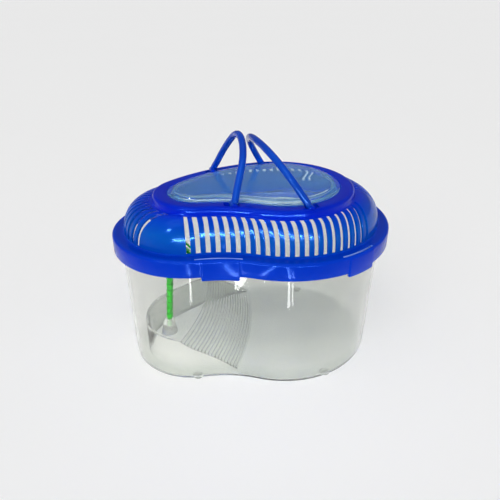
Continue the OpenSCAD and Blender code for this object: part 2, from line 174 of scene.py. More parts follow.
def shade(obj, sharp_deg=38):
    """Smooth faces, with sharp edges where faces meet at more than sharp_deg."""
    bm = bmesh.new()
    bm.from_mesh(obj.data)
    for f in bm.faces:
        f.smooth = True
    for e in bm.edges:
        e.smooth = len(e.link_faces) == 2 and e.calc_face_angle() < math.radians(sharp_deg)
    bm.to_mesh(obj.data)
    bm.free()
    return obj


def boolean(obj, other, operation):
    """Cuts or joins other into obj and removes other."""
    mod = obj.modifiers.new("cut", "BOOLEAN")
    mod.operation = operation
    mod.solver = "EXACT"
    mod.material_mode = "INDEX"
    mod.object = other
    graph = bpy.context.evaluated_depsgraph_get()
    mesh = bpy.data.meshes.new_from_object(obj.evaluated_get(graph))
    obj.modifiers.clear()
    obj.data = mesh
    bpy.data.objects.remove(other)
    return obj


def grid_faces(rows, cols, closed_rows=False, closed_cols=True, skip=None):
    """Quads between the points of a grid stored row by row."""
    faces = []
    for r in range(rows if closed_rows else rows - 1):
        for c in range(cols if closed_cols else cols - 1):
            if skip and skip(r, c):
                continue
            d, e = (r + 1) % rows, (c + 1) % cols
            faces.append((r * cols + c, r * cols + e, d * cols + e, d * cols + c))
    return faces


def join(objs):
    """One object from several, each a closed shell."""
    bm = bmesh.new()
    for o in objs:
        bm.from_mesh(o.data)
    first = objs[0]
    bm.to_mesh(first.data)
    bm.free()
    for o in objs[1:]:
        bpy.data.objects.remove(o)
    return first


def arc(n, start, end):
    """n + 1 angles in radians from start to end degrees."""
    return [math.radians(start + (end - start) * i / n) for i in range(n + 1)]


def smooth_step(t):
    """A soft rise from 0 at 0 to 1 at 1."""
    t = max(0.0, min(1.0, t))
    return t * t * (3 - 2 * t)


# ---- tank ----
FOOT_H = 1.2
FLOOR_Z = FOOT_H + WALL
FOOT_ROUND = 5.5
INSET_TOP, INSET_FOOT = 7.5, 11.0
LIP_H = 3.6
LIP_OFF = -2.9
# The steps of the island's ramp are arcs about ISLAND_C
ISLAND_OFF = -22.5
ISLAND_C = np.array([-300.0, 20.0])
PLATFORM_Z = 40.0
RAMP_TOP_R, RAMP_FOOT_R, RAMP_STEPS = 248.0, 300.0, 18
RAMP_COLS = 110
EDGE = 0.5


def wall_off(z):
    """Offset of the tapered outer wall from the rim at the height z."""
    return -INSET_FOOT + (INSET_FOOT - INSET_TOP) * z / SKIRT_Z


def cross_places(off, r):
    """Front and back place where the kidney at off is at the distance r from ISLAND_C."""
    nearest = 2 + ((angle_of(ISLAND_C - RIM[2][0]) - RIM[2][2]) % (2 * math.pi)) / RIM[2][3]
    found = []
    for far in (3.98, 1.0):
        near, end = nearest, far
        for _ in range(40):
            mid = (near + end) / 2
            if np.linalg.norm(on_kidney(RIM, off, mid) - ISLAND_C) < r:
                near = mid
            else:
                end = mid
        found.append((near + end) / 2)
    return found


def island_rows(off, back):
    """Rows of the island's top as (radius, height), from its left tip to the ramp's foot."""
    tip = np.linalg.norm(RIM[2][0] - ISLAND_C) - (RIM[2][1] + off) + 1e-4
    n_flat = 26
    rows = [(tip + (RAMP_TOP_R - back - tip) * (k / n_flat) ** 2, PLATFORM_Z) for k in range(n_flat + 1)]
    step_w = (RAMP_FOOT_R - RAMP_TOP_R) / RAMP_STEPS
    step_h = (PLATFORM_Z - FLOOR_Z) / RAMP_STEPS
    for i in range(RAMP_STEPS):
        r0, r1 = RAMP_TOP_R + step_w * i - back, RAMP_TOP_R + step_w * (i + 1) - back
        z = PLATFORM_Z - step_h * i
        if i:
            rows.append((r0 + 0.35, z))
        rows.append((r1 - 0.75, z))
        if i < RAMP_STEPS - 1:
            rows.append((r1 - 0.3, z - 0.12))
            rows.append((r1 - 0.05, z - 0.5))
            rows.append((r1, z - step_h + 0.3))
        else:
            rows.append((r1 - EDGE, z - 0.1))
    return rows


def island_ring(off, rows, last_shift, height):
    """Closed ring round the island from its left tip, at the heights height(z)."""
    front, back = [], []
    for k, (r, z) in enumerate(rows):
        shift = last_shift if k == len(rows) - 1 else 0
        pf, pb = (on_kidney(RIM, off, u) for u in cross_places(off, r + shift))
        front.append((*pf, height(z)))
        back.append((*pb, height(z)))
    r_last = rows[-1][0] + last_shift
    a0 = angle_of(np.array(front[-1][:2]) - ISLAND_C)
    a1 = angle_of(np.array(back[-1][:2]) - ISLAND_C)
    foot = []
    for j in range(1, RAMP_COLS):
        a = a0 + (a1 - a0) * j / RAMP_COLS
        p = ISLAND_C + r_last * np.array([math.cos(a), math.sin(a)])
        foot.append((*p, height(rows[-1][1])))
    return front + foot + back[:0:-1]


def island_sheet(off, rows, drop):
    """Points of the island's top in rows, the tip first."""
    sheet = []
    for r, z in rows:
        pf, pb = (on_kidney(RIM, off, u) for u in cross_places(off, r))
        a0, a1 = angle_of(pf - ISLAND_C), angle_of(pb - ISLAND_C)
        line = []
        for j in range(RAMP_COLS + 1):
            a = a0 + (a1 - a0) * j / RAMP_COLS
            p = ISLAND_C + r * np.array([math.cos(a), math.sin(a)])
            line.append((*p, z - drop))
        sheet.append(line)
    return sheet


def tank_places(rows):
    """Place on the rim for each point of an island ring, so that all rings match."""
    ends = [cross_places(ISLAND_OFF, r) for r, _ in rows]
    front = [f for f, _ in ends]
    back = [b + 4 for _, b in ends]
    us, lengths = girth_table(RIM, -INSET_FOOT)
    total = lengths[-1]
    s0 = np.interp(front[-1], us, lengths)
    s1 = np.interp(ends[-1][1], us, lengths) + total
    foot = []
    for j in range(1, RAMP_COLS):
        s = s0 + (s1 - s0) * j / RAMP_COLS
        u = np.interp(s % total, lengths, us)
        foot.append(u + 4 if u < 3 else u)
    return front + foot + back[:0:-1]


def tank_rings(places):
    """Rings of the wall from under the floor, up outside, over the lip and down."""
    base = wall_off(FOOT_ROUND)
    rings = [(base - FOOT_ROUND * (1 - math.sin(a)), FOOT_H + FOOT_ROUND * (1 - math.cos(a)))
             for a in arc(8, 0, 90)]
    lip_z = TANK_TOP - LIP_H
    rings += [(wall_off(z), z) for z in (45.0, 90.0, lip_z - 2.2)]
    rings += [(wall_off(lip_z) + 0.15, lip_z - 1.3), (wall_off(lip_z) + 1.2, lip_z - 0.6)]
    rings += [(LIP_OFF - 0.5, lip_z - 0.1), (LIP_OFF, lip_z + 0.4), (LIP_OFF, TANK_TOP - 0.6)]
    rings += [(LIP_OFF - 0.2, TANK_TOP - 0.15), (LIP_OFF - 0.7, TANK_TOP)]
    inner_top = wall_off(TANK_TOP) - WALL + 0.4
    rings += [(inner_top + 0.6, TANK_TOP), (inner_top + 0.1, TANK_TOP - 0.2), (inner_top, TANK_TOP - 0.7)]
    inner_r = FOOT_ROUND - WALL
    rings += [(wall_off(z) - WALL, z) for z in (90.0, 45.0)]
    rings += [(base - WALL - inner_r * (1 - math.sin(a)), FLOOR_Z + inner_r * (1 - math.cos(a)))
              for a in arc(7, 90, 0)]
    return [[(*on_kidney(RIM, off, u), z) for u in places] for off, z in rings]


def use_second_material(obj, first, last):
    """Gives the faces from first up to last the second material of their piece."""
    for i in range(first, last):
        obj.data.polygons[i].material_index = 1


def tank_mesh():
    """The whole moulding as one closed skin: hollow, floor, wall, lip, inside, island."""
    top_rows = island_rows(ISLAND_OFF - EDGE, 0)
    low_rows = island_rows(ISLAND_OFF - WALL, WALL)
    places = tank_places(top_rows)
    low_off = ISLAND_OFF - WALL
    rings = [
        island_ring(low_off, low_rows, 0, lambda z: z - WALL),
        island_ring(low_off, low_rows, 0, lambda z: FOOT_H + 0.5),
        island_ring(low_off + 0.15, low_rows, 0.15, lambda z: FOOT_H + 0.15),
        island_ring(low_off + 0.5, low_rows, 0.5, lambda z: FOOT_H),
    ]
    rings += tank_rings(places)
    rings += [
        island_ring(ISLAND_OFF + 0.6, top_rows, 1.1, lambda z: FLOOR_Z),
        island_ring(ISLAND_OFF + 0.15, top_rows, 0.65, lambda z: FLOOR_Z + 0.15),
        island_ring(ISLAND_OFF, top_rows, 0.5, lambda z: FLOOR_Z + 0.6),
        island_ring(ISLAND_OFF, top_rows, 0.5, lambda z: z - 0.55),
        island_ring(ISLAND_OFF - 0.12, top_rows, 0.38, lambda z: z - 0.18),
        island_ring(ISLAND_OFF - EDGE, top_rows, 0, lambda z: z),
    ]
    n = len(rings[0])
    verts = [p for ring in rings for p in ring]
    faces = grid_faces(len(rings), n)
    sheets = ((low_rows, low_off, WALL, True), (top_rows, ISLAND_OFF - EDGE, 0, False))
    for rows, off, drop, flip in sheets:
        plain = len(faces)
        first = len(verts)
        sheet = island_sheet(off, rows, drop)
        verts += [p for line in sheet for p in line]
        for a, b, c, d in grid_faces(len(sheet), RAMP_COLS + 1, closed_cols=False):
            quad = (a, d, c, b) if flip else (a, b, c, d)
            faces.append(tuple(first + i for i in quad))
    tank = new_object("tank_shell", verts, faces)
    use_second_material(tank, plain, len(faces))
    return tank


def lathe(profile, sides):
    """Points and faces of a closed turned shape from (radius, height) pairs on the Z axis."""
    verts = []
    for r, z in profile:
        for j in range(sides):
            a = 2 * math.pi * j / sides
            verts.append((r * math.cos(a), r * math.sin(a), z))
    faces = grid_faces(len(profile), sides)
    faces.append(tuple(range(sides))[::-1])
    faces.append(tuple((len(profile) - 1) * sides + j for j in range(sides)))
    return verts, faces


def turned(name, profile, sides, place):
    """A closed turned solid."""
    verts, faces = lathe(profile, sides)
    return clean(new_object(name, [place @ Vector(v) for v in verts], faces))


PALM_XY = (-83.0, -60.0)
BOSS_H, SPIGOT_L, SPIGOT_R = 15.0, 8.0, 2.0
palm_axis = Vector(next(joint["axis"] for joint in frame["joints"] if joint["name"] == "palm_pull"))
PALM_PLACE = Matrix.Translation((*PALM_XY, PLATFORM_Z)) @ Matrix.Rotation(
    math.atan2(palm_axis.x, palm_axis.z), 4, "Y"
)
FOOT_OFFSET, FOOT_PLACES = -17.8, (0.214, 0.85, 1.85, 2.969)


def tank_foot(u):
    """A short round foot under the wall at the place u."""
    profile = [(3.6, 0.0), (4.5, 0.15), (4.9, 0.6), (5.0, FOOT_H), (5.0, FLOOR_Z - 0.6)]
    return turned("foot", profile, 48, Matrix.Translation((*on_kidney(RIM, FOOT_OFFSET, u), 0)))


def palm_socket():
    """The cone on the platform with the hole for the palm's spigot."""
    hole_foot = BOSS_H - SPIGOT_L - 0.5
    boss = [(9.4, -0.8), (9.0, 0.05), (8.3, 0.35), (7.75, 1.1)]
    boss += [(4.75, BOSS_H - 0.7), (4.55, BOSS_H - 0.2), (4.2, BOSS_H), (2.5, BOSS_H)]
    boss += [(SPIGOT_R + 0.1, BOSS_H - 0.4), (SPIGOT_R + 0.08, hole_foot), (0.4, hole_foot)]
    return turned("boss", boss, 64, PALM_PLACE)


def build_tank():
    tank = clean(tank_mesh())
    frosted = join([*(tank_foot(u) for u in FOOT_PLACES), palm_socket()])
    use_second_material(frosted, 0, len(frosted.data.polygons))
    boolean(tank, frosted, "UNION")
    tank.name = "tank_shell"
    return shade(clean(tank, 0.001, False), 34)


# ---- lid ----
SLOT_PITCH, SLOT_SHARE, VENT_PHASE = 8.5, 0.47, 0.54
# Groups of slots as first pitch, last pitch and the angle on the dome they start at
VENT_GROUPS = ((0, 12, 0), (18, 26, 0), (32, 52, 21), (56, 68, 0), (74, 81, 0))
TABS = ((7, 11), (29, 33), (51, 55), (74, 79))
# Places on the rim, and the places on the window that they run up to
LEAN_AT = (0, 0.013, 0.038, 0.187, 0.32, 1, 2, 2.5, 2.57, 2.64, 2.75, 2.939, 2.995, 3.142, 3.928, 4)
LEAN_TO = (
    3.926, 3.997, 4.038, 4.225, 4.4, 5, 5.97, 6.5, 6.61, 6.75, 6.79, 6.838, 6.912, 7.009, 7.844, 7.926
)
SLIT_OFF, SLIT_W = -RIM_ROUND, 2.0
# Offset of the dome's upper end from the window
DOME_END = RING_W + 1.2
# Angles of the dome's rows in degrees
DOME_ANGLES = [1.5, 4, *[9 + 6.33 * i for i in range(12)], 82.5, 85]


def tab_marks(i):
    """Extra columns at a tab's ends as (share of the pitch, slit open, share of the tab)."""
    share = SLOT_SHARE
    for first, last in TABS:
        if i == first:
            return [(share + 0.22, False, 0), (share + 0.26, True, 0)]
        if i == first + 1:
            return [(0.26, True, 0), (0.29, True, 0.12), (0.33, True, 0.85), (0.37, True, 1)]
        if i == last:
            return [(share + 0.05, True, 1), (share + 0.09, True, 0.85), (share + 0.13, True, 0.12),
                    (share + 0.16, True, 0), (share + 0.36, False, 0), (share + 0.40, False, 0)]
    return []


def lid_columns():
    """Columns round the dome's foot as (distance, angle the slot starts at or none, slit open, tab)."""
    us, lengths = girth_table(RIM, -FLANGE_W)
    pitches = round(lengths[-1] / SLOT_PITCH)
    pitch = lengths[-1] / pitches
    cols = []
    for i in range(pitches):
        starts = [first for a, b, first in VENT_GROUPS if a <= i <= b]
        slot = starts[0] if starts else None
        inside = any(a < i <= b for a, b in TABS)
        full = any(a + 1 < i <= b for a, b in TABS)
        extra = tab_marks(i)
        bar = 1 - SLOT_SHARE
        marks = [(SLOT_SHARE * k / 4, slot, inside, full) for k in range(4)]
        marks += [(SLOT_SHARE + bar * k / 4, None, inside, inside) for k in range(4)]
        if extra:
            low, high = extra[0][0] - 0.03, extra[-1][0] + 0.03
            marks = [m for m in marks if not low < m[0] < high or m[0] == SLOT_SHARE]
            marks += [(at, slot if at < SLOT_SHARE else None, slit, tab) for at, slit, tab in extra]
            marks = [settle(m, extra) for m in sorted(marks, key=lambda m: m[0])]
        start = i + VENT_PHASE
        cols += [(pitch * (start + at), first, slit, float(tab)) for at, first, slit, tab in marks]
    places = [float(np.interp(c[0] % lengths[-1], lengths, us)) for c in cols]
    return cols, places


def settle(mark, extra):
    """Gives a plain column the slit and tab of the extra column before it."""
    before = [e for e in extra if e[0] <= mark[0]]
    if before:
        return mark[0], mark[1], before[-1][1], before[-1][2]
    if extra[0][1] and extra[0][2] == 0:
        return mark[0], mark[1], True, 0
    return mark


LID_COLS, LID_PLACES = lid_columns()
WIN_PLACES = [float(np.interp(u, LEAN_AT, LEAN_TO)) for u in LID_PLACES]


def rim_row(off, z, bulge=0.0, drop=0.0):
    """A row of the lid along the rim, with the tabs' bulge and drop."""
    row = []
    for (_, _, _, tab), u in zip(LID_COLS, LID_PLACES):
        p = on_kidney(RIM, off + bulge * TAB_BULGE * tab, u)
        row.append((p[0], p[1], z - drop * TAB_DROP * tab))
    return row


def window_row(off, z):
    """A row of the lid along the window."""
    return [(*on_kidney(WINDOW, off, u), z) for u in WIN_PLACES]


def dome_row(deg, inset, sink):
    """A row of the dome between the flange and the ring, at the angle deg from its foot."""
    a = math.radians(deg)
    t = 1 - math.cos(a)
    low = FLANGE_Z + 1 - sink
    z = low + (DOME_TOP_Z - sink - low) * math.sin(a)
    row = []
    for u, w in zip(LID_PLACES, WIN_PLACES):
        foot = on_kidney(RIM, -FLANGE_W - 1 - inset, u)
        p = (1 - t) * foot + t * on_kidney(WINDOW, DOME_END - inset, w)
        row.append((p[0], p[1], z))
    return row


def ring_rows():
    """Rows of the ring from the dome up, over it, down to the ledge and back on the inside."""
    levels = [(DOME_END, DOME_TOP_Z), (DOME_END - 0.5, DOME_TOP_Z + 0.2)]
    levels += [(DOME_END - 0.85, DOME_TOP_Z + 0.8), (RING_W + 0.1, RING_Z - RING_ROUND - 0.9)]
    for a in arc(7, 4, 86):
        off = RING_W - RING_ROUND * (1 - math.cos(a))
        levels.append((off, RING_Z - RING_ROUND * (1 - math.sin(a))))
    levels += [(RING_W - RING_ROUND - 1.5, RING_Z), (0.8, RING_Z), (0.2, RING_Z - 0.15)]
    levels += [(0, RING_Z - 0.6), (0, LEDGE_Z), (-LEDGE_W + 0.4, LEDGE_Z), (-LEDGE_W, LEDGE_Z - 0.4)]
    levels += [(-LEDGE_W, LEDGE_Z - WALL), (WALL, LEDGE_Z - WALL), (WALL, RING_Z - WALL)]
    levels += [(RING_W - WALL, RING_Z - WALL), (DOME_END - WALL, DOME_TOP_Z - WALL / 2)]
    return [window_row(off, z) for off, z in levels]


def lid_rows():
    """Rows of the lid, and the numbers of those beside the openings."""
    top = FLANGE_Z
    levels = [(-0.75, SKIRT_Z, 1, 1), (-0.22, SKIRT_Z + 0.12, 1, 1), (0, SKIRT_Z + 0.6, 1, 1)]
    levels.append((0, top - RIM_ROUND, 1))
    for a in arc(5, 15, 75):
        off = -RIM_ROUND * (1 - math.cos(a))
        levels.append((off, top - RIM_ROUND * (1 - math.sin(a)), math.cos(a)))
    slit = len(levels)
    levels += [(SLIT_OFF, top), (SLIT_OFF - SLIT_W, top), (-FLANGE_W + 0.6, top)]
    levels += [(-FLANGE_W - 0.3, top + 0.12), (-FLANGE_W - 0.8, top + 0.5)]
    rows = [rim_row(*level) for level in levels]
    vent = len(rows)
    rows += [dome_row(a, 0, 0) for a in DOME_ANGLES]
    rows += ring_rows()
    rows += [dome_row(a, WALL, WALL / 2) for a in DOME_ANGLES[::-1]]
    in_vent = len(rows) - 1
    rows += [rim_row(-FLANGE_W - WALL, top - WALL)]
    rows += [rim_row(SLIT_OFF - SLIT_W, top - WALL), rim_row(SLIT_OFF, top - WALL)]
    in_slit = len(rows) - 1
    rows += [rim_row(-2.4, SKIRT_Z + 0.6, 0, 1), rim_row(-2.18, SKIRT_Z + 0.12, 0, 1)]
    return rows + [rim_row(-1.65, SKIRT_Z, 0, 1)], slit, vent, in_vent, in_slit


def lid_skin():
    """The lid's shell with its slots and slits open."""
    rows, slit, vent, in_vent, in_slit = lid_rows()
    n_rows, n_cols = len(rows), len(LID_COLS)
    open_rows = [slit, *range(vent, vent + len(DOME_ANGLES) - 1)]

    def inner_row(r):
        return in_slit - (r - slit) if r < vent else in_vent - (r - vent)

    def is_open(r, c):
        _, first, cut, _ = LID_COLS[c % n_cols]
        if r == slit or r not in open_rows:
            return cut and r == slit
        return first is not None and DOME_ANGLES[r - vent] >= first

    closed = set()
    for c in range(n_cols):
        for r in open_rows:
            if is_open(r, c):
                closed.add((r, c))
                closed.add((inner_row(r + 1), c))
    faces = grid_faces(n_rows, n_cols, closed_rows=True, skip=lambda r, c: (r, c) in closed)

    def at(r, c):
        return r * n_cols + c % n_cols

    plain = len(faces)
    for r in open_rows:
        if r == vent:
            slit_walls = len(faces)
        i, j = inner_row(r), inner_row(r + 1)
        for c in range(n_cols):
            if not is_open(r, c):
                continue
            if not is_open(r, c - 1):
                faces.append((at(r, c), at(r + 1, c), at(j, c), at(i, c)))
            if not is_open(r, c + 1):
                faces.append((at(r + 1, c + 1), at(r, c + 1), at(i, c + 1), at(j, c + 1)))
            if not is_open(r - 1, c):
                faces.append((at(r, c + 1), at(r, c), at(i, c), at(i, c + 1)))
            if not is_open(r + 1, c):
                faces.append((at(r + 1, c), at(r + 1, c + 1), at(j, c + 1), at(j, c)))
    lid = new_object("lid_shell", [p for row in rows for p in row], faces)
    # The slits' walls get the lighter blue, a painted highlight
    use_second_material(lid, plain, slit_walls)
    return clean(lid)


def soften(obj, width):
    """Rounds sharp edges by width millimetres."""
    bm = bmesh.new()
    bm.from_mesh(obj.data)
    limit = math.radians(55)
    edges = [e for e in bm.edges if len(e.link_faces) == 2 and e.calc_face_angle() > limit]
    bmesh.ops.bevel(bm, geom=edges, offset=width * MM, segments=2, profile=0.5,
                    affect="EDGES", clamp_overlap=True, offset_type="OFFSET")
    bm.to_mesh(obj.data)
    bm.free()
    return obj


# ---- handle pivots ----
# Places of each handle's back and front foot on the window
FOOT_OFF = 6.0
FEET = {"handle_left": (1.503, 3.551), "handle_right": (0.989, 0.182)}
SIDE = {"handle_left": -1, "handle_right": 1}
# The pocket round a foot: its outer end drifts sideways after a straight part
POCKET_HALF = ROD_R + 0.5
POCKET_IN, POCKET_OUT, POCKET_STRAIGHT = 4.6, 8.0, 3.0
DRIFT = {"handle_left": 2.0, "handle_right": 0.8}
BARREL_R, BARREL_L, BARREL_EDGE = 2.9, 2.1, 0.35
PIN_R, PIN_REACH = 1.5, 1.6


def foot_frames(name):
    """Matrices at a handle's back and front foot: X along the hinge line, Y outwards, Z up."""
    pts = [on_kidney(WINDOW, FOOT_OFF, u) for u in FEET[name]]
    along = (pts[1] - pts[0]) / np.linalg.norm(pts[1] - pts[0])
    out = np.array([-along[1], along[0]]) * SIDE[name]
    x, y = zip(along, out)
    return [Matrix(((*x, 0, p[0]), (*y, 0, p[1]), (0, 0, 1, PIVOT_Z), (0, 0, 0, 1))) for p in pts]


def prism(name, outline, z0, z1, place):
    """Closed solid between two heights over an outline."""
    n = len(outline)
    verts = [place @ Vector((x, y, z)) for z in (z0, z1) for x, y in outline]
    faces = [tuple(range(n)), tuple(range(n, 2 * n))]
    faces += [(i, (i + 1) % n, n + (i + 1) % n, n + i) for i in range(n)]
    return clean(new_object(name, verts, faces))


def pocket(name, index, place):
    """The room in the ring that a handle's foot turns in."""
    drift = (1 - 2 * index) * DRIFT[name]
    h = POCKET_HALF
    outline = [(-h, -POCKET_IN), (h, -POCKET_IN), (h, POCKET_STRAIGHT), (h + drift, POCKET_OUT),
               (-h + drift, POCKET_OUT), (-h, POCKET_STRAIGHT)]
    return prism("pocket", outline, -ROD_R - 0.5, 8, place)


def pivot_block(name, index):
    """The moulding under a pocket, along the ring."""
    u0 = FEET[name][index]
    us, lengths = girth_table(WINDOW, FOOT_OFF)
    s0 = np.interp(u0, us, lengths)
    way = -1 if (name, index) in (("handle_left", 1), ("handle_right", 0)) else 1
    verts, n = [], 14
    near, far = 0.9, 10.0
    low, high = PIVOT_Z - 6.4, RING_Z - 0.6
    for i in range(n):
        s = s0 + way * (-POCKET_IN - 2 + (POCKET_IN + POCKET_OUT + 4) * i / (n - 1))
        u = float(np.interp(s % lengths[-1], lengths, us))
        for off, z in ((near, low), (far, low), (far, high), (near, high)):
            verts.append((*on_kidney(WINDOW, off, u), z))
    faces = [tuple(range(4)), tuple(range(4 * (n - 1), 4 * n))]
    faces += grid_faces(n, 4)
    return clean(new_object("block", verts, faces))


def barrel(place, x):
    """A bearing beside a pocket."""
    end = x + BARREL_L + 0.05
    profile = [(BARREL_R - BARREL_EDGE, x), (BARREL_R, x + BARREL_EDGE)]
    profile += [(BARREL_R, end - BARREL_EDGE), (BARREL_R - BARREL_EDGE, end)]
    return turned("barrel", profile, 40, place @ Matrix.Rotation(math.radians(90), 4, "Y"))


def build_lid():
    lid = soften(lid_skin(), 0.3)
    adds, cuts = [], []
    for name in FEET:
        for index, place in enumerate(foot_frames(name)):
            adds.append(pivot_block(name, index))
            cuts.append(pocket(name, index, place))
            adds += [barrel(place, x) for x in (-POCKET_HALF - BARREL_L, POCKET_HALF - 0.05)]
    for part in adds:
        boolean(lid, part, "UNION")
    for part in cuts:
        boolean(lid, part, "DIFFERENCE")
    lid.name = "lid_shell"
    return shade(keep_inside(clean(lid, 0.001, False), LID_LOW, LID_HIGH), 36)


# ---- hatch ----
HATCH_PLAY, HATCH_EDGE, CAP_H, HATCH_WALL = 0.5, 5.5, 3.4, 2.0
NOTCH_XY, NOTCH_R = (72.0, -10.0), 6.0


def stack(name, levels):
    """Closed solid from offsets of the window and their heights."""
    n = 360
    us = np.linspace(0, 4, n, endpoint=False)
    verts = [(*on_kidney(WINDOW, off, u), z) for off, z in levels for u in us]
    faces = grid_faces(len(levels), n)
    faces.append(tuple(range(n))[::-1])
    faces.append(tuple((len(levels) - 1) * n + i for i in range(n)))
    return new_object(name, verts, faces)


def grip(top):
    """The half-round finger rib on top of the hatch."""
    section = ((NOTCH_R - 1.4, top - 0.4), (NOTCH_R, top - 0.4), (NOTCH_R, top + 0.7),
               (NOTCH_R - 0.35, top + 1.05), (NOTCH_R - 1.05, top + 1.05), (NOTCH_R - 1.4, top + 0.7))
    verts = []
    angles = arc(28, 90, 270)
    for a in angles:
        for r, z in section:
            verts.append((NOTCH_XY[0] + r * math.cos(a), NOTCH_XY[1] + r * math.sin(a), z))
    sides = len(section)
    faces = [tuple(range(sides)), tuple(range(len(verts) - sides, len(verts)))]
    faces += grid_faces(len(angles), sides)
    return clean(new_object("notch", verts, faces))


def build_hatch():
    top = RING_Z + CAP_H
    edge = -HATCH_PLAY
    cap = -HATCH_EDGE
    inner = cap - HATCH_WALL
    low = LEDGE_Z
    levels = [(inner - 2.4, top - HATCH_WALL), (inner - 1.2, top - HATCH_WALL - 0.15)]
    levels += [(inner - 0.5, top - HATCH_WALL - 0.7), (inner, low + 0.5), (inner + 0.4, low + 0.05)]
    levels += [(edge - 0.4, low), (edge - 0.1, low + 0.1), (edge, low + 0.4)]
    levels += [(edge, RING_Z - 0.5), (edge - 0.15, RING_Z - 0.12), (edge - 0.6, RING_Z)]
    levels += [(cap + 0.6, RING_Z), (cap + 0.15, RING_Z + 0.15), (cap, RING_Z + 0.6)]
    levels += [(cap - 0.25, top - 1.2), (cap - 0.5, top - 0.55), (cap - 1.0, top - 0.15)]
    levels += [(cap - 1.9, top)]
    hatch = clean(stack("hatch_cover", levels))
    boolean(hatch, grip(top), "UNION")
    hatch.name = "hatch_cover"
    return shade(clean(hatch, 0.001, False), 34)


# ---- handles ----
TIP_OFF, STRAIGHT_LEG, BENT_LEG = -3.0, 2.6, 9.0
KNUCKLE_R, KNUCKLE_HALF = ROD_R + 0.15, ROD_R + 0.2
LEAN = {"handle_left": 19.0, "handle_right": 32.0}


def handle_line(name):
    """Middle line of a handle in its flat frame: X along the hinge line, Y away from it."""
    n = 150
    back, front = foot_frames(name)
    flat = back.inverted()
    far = (front.translation - back.translation).length
    line = []
    for i in range(n + 1):
        f = 0.5 - 0.5 * math.cos(math.pi * i / n)
        f = 0.35 * f + 0.65 * i / n
        off = FOOT_OFF + (TIP_OFF - FOOT_OFF) * math.sin(math.pi * f) ** 3
        u = FEET[name][0] + (FEET[name][1] - FEET[name][0]) * f
        p = on_kidney(WINDOW, off, u)
        v = flat @ Vector((p[0], p[1], PIVOT_Z))
        foot_x = 0 if f < 0.5 else far
        bend = smooth_step((v.y - STRAIGHT_LEG) / BENT_LEG)
        line.append(Vector((foot_x + (v.x - foot_x) * bend, v.y)))
    return line, far


def rod_skin(line, place):
    """Points and faces of the rod, with a faint mould seam on both sides."""
    sides = 28
    verts = []
    for i, p in enumerate(line):
        t = (line[min(i + 1, len(line) - 1)] - line[max(i - 1, 0)]).normalized()
        for j in range(sides):
            a = 2 * math.pi * j / sides
            r = ROD_R if j % (sides // 2) == 0 else ROD_R - 0.06
            out = r * math.cos(a)
            verts.append(place @ Vector((p.x - out * t.y, p.y + out * t.x, r * math.sin(a))))
    faces = grid_faces(len(line), sides)
    faces += [tuple(range(sides)), tuple((len(line) - 1) * sides + j for j in range(sides))]
    return verts, faces


def build_handle(name):
    line, far = handle_line(name)
    place = foot_frames(name)[0] @ Matrix.Rotation(math.radians(90 + LEAN[name]), 4, "X")
    handle = clean(new_object(name + "_rod", *rod_skin(line, place)))
    half, reach, r = KNUCKLE_HALF, POCKET_HALF + PIN_REACH, KNUCKLE_R
    knuckle = [(r - 0.7, -half), (r - 0.35, -half + 0.06), (r - 0.1, -half + 0.3), (r, -half + 0.7)]
    pin = [(PIN_R - 0.3, -reach), (PIN_R, -reach + 0.3)]
    for x in (0, far):
        turn = place @ Matrix.Translation((x, 0, 0)) @ Matrix.Rotation(math.radians(90), 4, "Y")
        for profile in (knuckle, pin):
            whole = profile + [(w, -z) for w, z in profile[::-1]]
            boolean(handle, turned("knuckle", whole, 40, turn), "UNION")
    return shade(clean(handle, 0.001, False), 40)


# ---- palm ----
HUB_H, HUB_R, CROWN_PIN_R = 3.0, 4.0, 1.5
# Height of the crown over the platform, and the trunk's radius and least ring height
CROWN = 90.0
TRUNK_R, RING_H = 3.3, 6.5


def build_trunk():
    rings = int((CROWN - BOSS_H) // RING_H)
    h = (CROWN - BOSS_H) / rings
    low = BOSS_H - SPIGOT_L
    profile = [(SPIGOT_R - 0.3, low), (SPIGOT_R, low + 0.4), (SPIGOT_R, BOSS_H)]
    for i in range(rings):
        z = BOSS_H + h * i
        profile += [(TRUNK_R - 0.85, z + 0.02), (TRUNK_R - 0.7, z + 0.35), (TRUNK_R - 0.45, z + h * 0.25)]
        profile += [(TRUNK_R - 0.2, z + h * 0.55), (TRUNK_R - 0.02, z + h * 0.8), (TRUNK_R, z + h * 0.88)]
        profile += [(TRUNK_R - 0.12, z + h * 0.95)]
    top = CROWN + 2 * HUB_H
    profile += [(CROWN_PIN_R + 0.6, CROWN - 0.05), (CROWN_PIN_R, CROWN)]
    profile += [(CROWN_PIN_R, top - 0.5), (CROWN_PIN_R - 0.5, top)]
    return shade(turned("palm_stem", profile, 40, PALM_PLACE), 50)


def leaflet(base, way, up, length, width):
    """A thin pointed leaf blade with a folded middle, as a closed wedge."""
    side = up.cross(way).normalized()
    verts = []
    stations = ((0.0, 0.35), (0.25, 0.9), (0.55, 1.0), (0.8, 0.62), (1.0, 0.06))
    for t, w in stations:
        mid = base + way * length * t - up * 0.12 * length * t * t
        half = side * width * w / 2
        thick = 0.32 * (1 - 0.5 * t)
        verts += [mid + up * thick, mid + half - up * 0.12]
        verts += [mid - up * thick * 0.6, mid - half - up * 0.12]
    faces = [(0, 1, 2, 3), (19, 18, 17, 16)]
    for i in range(0, 16, 4):
        faces += [(i + j, i + 4 + j, i + 4 + (j + 1) % 4, i + (j + 1) % 4) for j in range(4)]
    return verts, faces


def add_shell(verts, faces, more_verts, more_faces):
    """Appends one mesh to another."""
    first = len(verts)
    verts += more_verts
    faces += [tuple(first + i for i in face) for face in more_faces]


